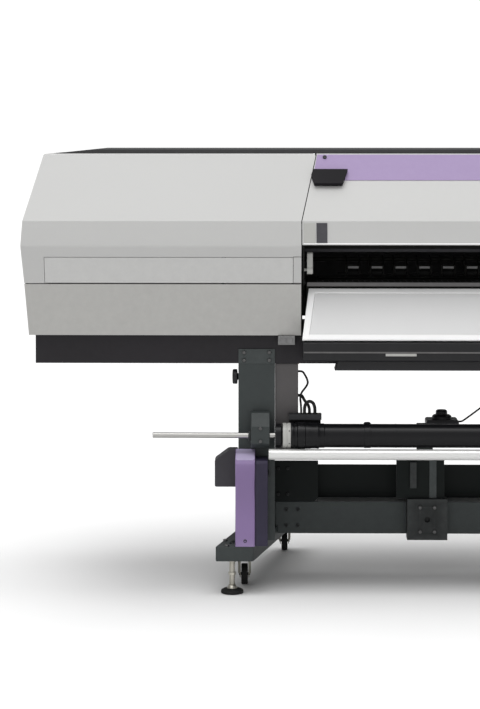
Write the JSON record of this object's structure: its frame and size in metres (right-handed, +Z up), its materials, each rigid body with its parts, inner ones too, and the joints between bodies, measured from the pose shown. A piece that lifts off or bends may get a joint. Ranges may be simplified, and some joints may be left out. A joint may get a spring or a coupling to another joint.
{
  "type": "roll-fed printer cutter",
  "caption": "Wide roll-fed printer cutter on a stand: two side casings, hinged front cover, sloping apron, take-up tube, tension bar and caster feet.",
  "frame": {"origin": "on the floor under the middle of the machine", "axes": "+X to the right seen from the front, +Y to the back, +Z up"},
  "size_m": [3.09, 0.7798, 1.483],
  "materials": {
    "casing_plastic": "fine textured moulded plastic",
    "lower_casing_plastic": "fine textured moulded plastic, a shade darker",
    "stripe_paint": "satin painted plastic",
    "black_plastic": "matte moulded plastic",
    "dark_steel": "powder coated sheet steel",
    "frame_steel": "powder coated steel section",
    "white_frame": "smooth white plastic",
    "panel_grey": "light satin sheet",
    "bright_metal": "brushed",
    "steel": "turned and ground",
    "rubber": "moulded rubber",
    "tube_black": "smooth glossy tube",
    "core_board": "wound paper core",
    "light_plastic": "moulded"
  },
  "bodies": {
    "frame": {"apron_frame": "white_frame", "apron_panel": "panel_grey", "cable_ducts": "frame_steel", "cables": "rubber", "carriage_belt": "rubber", "chassis_beam": "dark_steel", "cross_beam": "frame_steel", "feed_motor": "steel", "foot_bars": "frame_steel", "front_heater": "black_plastic", "left_lower_casing": "lower_casing_plastic", "left_upper_casing": "casing_plastic", "leg_boxes": "dark_steel", "leg_covers": "stripe_paint", "leg_plates": "black_plastic", "linear_rail": "steel", "mid_blocks": "black_plastic", "mid_brackets": "dark_steel", "platen": "bright_metal", "print_frame": "dark_steel", "rear_cover": "black_plastic", "rear_panel": "dark_steel", "right_lower_casing": "lower_casing_plastic", "right_upper_casing": "casing_plastic", "stand_columns": "frame_steel", "takeup_carriers": "frame_steel", "takeup_motor": "black_plastic", "y_bar": "dark_steel"},
    "front_cover": {"front_cover": "casing_plastic", "cover_stripe": "stripe_paint", "cover_latch": "black_plastic"},
    "left_flap": {"left_flap": "casing_plastic"},
    "clamp": {"pinch_arms": "steel"},
    "pinch_rollers": {"pinch_rollers": "rubber"},
    "clamp_lever": {"clamp_lever": "light_plastic"},
    "feed": {"feed_roller": "steel"},
    "feed_pinion": {"feed_pinion": "steel"},
    "carriage": {"carriage": "black_plastic"},
    "cutter": {"cutter_head": "bright_metal"},
    "belt_pulley": {"belt_pulley": "bright_metal"},
    "takeup": {"takeup_tube": "tube_black", "takeup_shaft": "bright_metal", "takeup_hubs": "black_plastic"},
    "takeup_pinion": {"takeup_pinion": "steel"},
    "tension_bar": {"tension_bar": "bright_metal"},
    "supply": {"supply_roll": "core_board"},
    "control_panel": {"control_panel": "black_plastic"},
    "power_button": {"power_button": "light_plastic"},
    "ink_door": {"ink_door": "lower_casing_plastic"},
    "mid_knob": {"mid_knob": "black_plastic"},
    "fork_front_left": {"caster_fork_front_left": "steel"},
    "wheel_front_left": {"caster_wheel_front_left": "rubber"},
    "fork_front_right": {"caster_fork_front_right": "steel"},
    "wheel_front_right": {"caster_wheel_front_right": "rubber"},
    "fork_rear_left": {"caster_fork_rear_left": "steel"},
    "wheel_rear_left": {"caster_wheel_rear_left": "rubber"},
    "fork_rear_right": {"caster_fork_rear_right": "steel"},
    "wheel_rear_right": {"caster_wheel_rear_right": "rubber"},
    "foot_left": {"levelling_foot_left": "steel"},
    "foot_right": {"levelling_foot_right": "steel"}
  },
  "joints": [
    {"name": "a_front_cover_hinge", "type": "hinge", "parent": "frame", "child": "front_cover", "pos_m": [0.2255, -0.13, 1.455], "axis": [-1, 0, 0], "range_deg": [0, 62]},
    {"name": "b_left_flap_hinge", "type": "hinge", "parent": "frame", "child": "left_flap", "pos_m": [-1.054, -0.35919, 1.044], "axis": [1, 0, 0], "range_deg": [0, 100]},
    {"name": "c_carriage_slide", "type": "slide", "parent": "frame", "child": "carriage", "axis": [1, 0, 0], "range_m": [0, 2.4]},
    {"name": "d_tension_bar_swing", "type": "hinge", "parent": "frame", "child": "tension_bar", "pos_m": [0.2255, -0.332, 0.4], "axis": [1, 0, 0], "range_deg": [0, 60]},
    {"name": "e_clamp_lever_turn", "type": "hinge", "parent": "frame", "child": "clamp_lever", "pos_m": [-0.59, -0.33, 1.082], "axis": [1, 0, 0], "range_deg": [0, 50]},
    {"name": "clamp_shaft_turn", "type": "hinge", "parent": "frame", "child": "clamp", "pos_m": [0.2255, -0.058, 1.098], "axis": [-1, 0, 0], "range_deg": [0, 12]},
    {"name": "pinch_roller_spin", "type": "hinge", "parent": "clamp", "child": "pinch_rollers", "pos_m": [0.2255, -0.105, 1.0533], "axis": [1, 0, 0], "continuous": true},
    {"name": "feed_roller_spin", "type": "hinge", "parent": "frame", "child": "feed", "pos_m": [0.2255, -0.105, 1.021], "axis": [1, 0, 0], "continuous": true},
    {"name": "feed_pinion_spin", "type": "hinge", "parent": "frame", "child": "feed_pinion", "pos_m": [1.084, -0.105, 0.9586], "axis": [1, 0, 0], "continuous": true},
    {"name": "cutter_lift", "type": "slide", "parent": "carriage", "child": "cutter", "axis": [0, 0, -1], "range_m": [0, 0.01], "stiffness_N_per_m": 2000, "springref_m": -0.006},
    {"name": "belt_pulley_spin", "type": "hinge", "parent": "frame", "child": "belt_pulley", "pos_m": [1.41, -0.138, 1.262], "axis": [0, 1, 0], "continuous": true},
    {"name": "f_takeup_spin", "type": "hinge", "parent": "frame", "child": "takeup", "pos_m": [0.2255, -0.34, 0.528], "axis": [1, 0, 0], "continuous": true},
    {"name": "takeup_pinion_spin", "type": "hinge", "parent": "frame", "child": "takeup_pinion", "pos_m": [1.241, -0.34, 0.578], "axis": [1, 0, 0], "continuous": true},
    {"name": "supply_roll_spin", "type": "hinge", "parent": "frame", "child": "supply", "pos_m": [0.2255, 0.33, 0.725], "axis": [1, 0, 0], "continuous": true},
    {"name": "control_panel_tilt", "type": "hinge", "parent": "frame", "child": "control_panel", "pos_m": [1.25, -0.34133, 1.28726], "axis": [1, 0, 0], "range_deg": [0, 35]},
    {"name": "power_button_press", "type": "slide", "parent": "control_panel", "child": "power_button", "axis": [0, 0.7857, -0.6186], "range_m": [0, 0.0025], "stiffness_N_per_m": 400, "springref_m": -0.0008},
    {"name": "ink_door_hinge", "type": "hinge", "parent": "frame", "child": "ink_door", "pos_m": [1.296, -0.32248, 0.886], "axis": [1, 0, 0], "range_deg": [0, 90]},
    {"name": "mid_knob_turn", "type": "hinge", "parent": "frame", "child": "mid_knob", "pos_m": [-0.123, -0.1, 0.575], "axis": [0, 0, 1], "range_deg": [0, 270]},
    {"name": "swivel_front_left", "type": "hinge", "parent": "frame", "child": "fork_front_left", "pos_m": [-0.804, -0.245, 0.115], "axis": [0, 0, 1], "continuous": true},
    {"name": "roll_front_left", "type": "hinge", "parent": "fork_front_left", "child": "wheel_front_left", "pos_m": [-0.804, -0.225, 0.035], "axis": [1, 0, 0], "continuous": true},
    {"name": "swivel_front_right", "type": "hinge", "parent": "frame", "child": "fork_front_right", "pos_m": [1.255, -0.245, 0.115], "axis": [0, 0, 1], "continuous": true},
    {"name": "roll_front_right", "type": "hinge", "parent": "fork_front_right", "child": "wheel_front_right", "pos_m": [1.255, -0.225, 0.035], "axis": [1, 0, 0], "continuous": true},
    {"name": "swivel_rear_left", "type": "hinge", "parent": "frame", "child": "fork_rear_left", "pos_m": [-0.664, 0.262, 0.115], "axis": [0, 0, 1], "continuous": true},
    {"name": "roll_rear_left", "type": "hinge", "parent": "fork_rear_left", "child": "wheel_rear_left", "pos_m": [-0.664, 0.282, 0.035], "axis": [1, 0, 0], "continuous": true},
    {"name": "swivel_rear_right", "type": "hinge", "parent": "frame", "child": "fork_rear_right", "pos_m": [1.115, 0.262, 0.115], "axis": [0, 0, 1], "continuous": true},
    {"name": "roll_rear_right", "type": "hinge", "parent": "fork_rear_right", "child": "wheel_rear_right", "pos_m": [1.115, 0.282, 0.035], "axis": [1, 0, 0], "continuous": true},
    {"name": "foot_turn_left", "type": "hinge", "parent": "frame", "child": "foot_left", "pos_m": [-0.844, -0.34, 0.06], "axis": [0, 0, 1], "continuous": true},
    {"name": "foot_turn_right", "type": "hinge", "parent": "frame", "child": "foot_right", "pos_m": [1.295, -0.34, 0.06], "axis": [0, 0, 1], "continuous": true}
  ],
  "couplings": [
    {"joint": "clamp_shaft_turn", "follows": "e_clamp_lever_turn", "ratio": 0.24},
    {"joint": "feed_pinion_spin", "follows": "feed_roller_spin", "ratio": -3.3333},
    {"joint": "takeup_pinion_spin", "follows": "f_takeup_spin", "ratio": -3},
    {"joint": "belt_pulley_spin", "follows": "c_carriage_slide", "rad_per_m": 75.5}
  ]
}
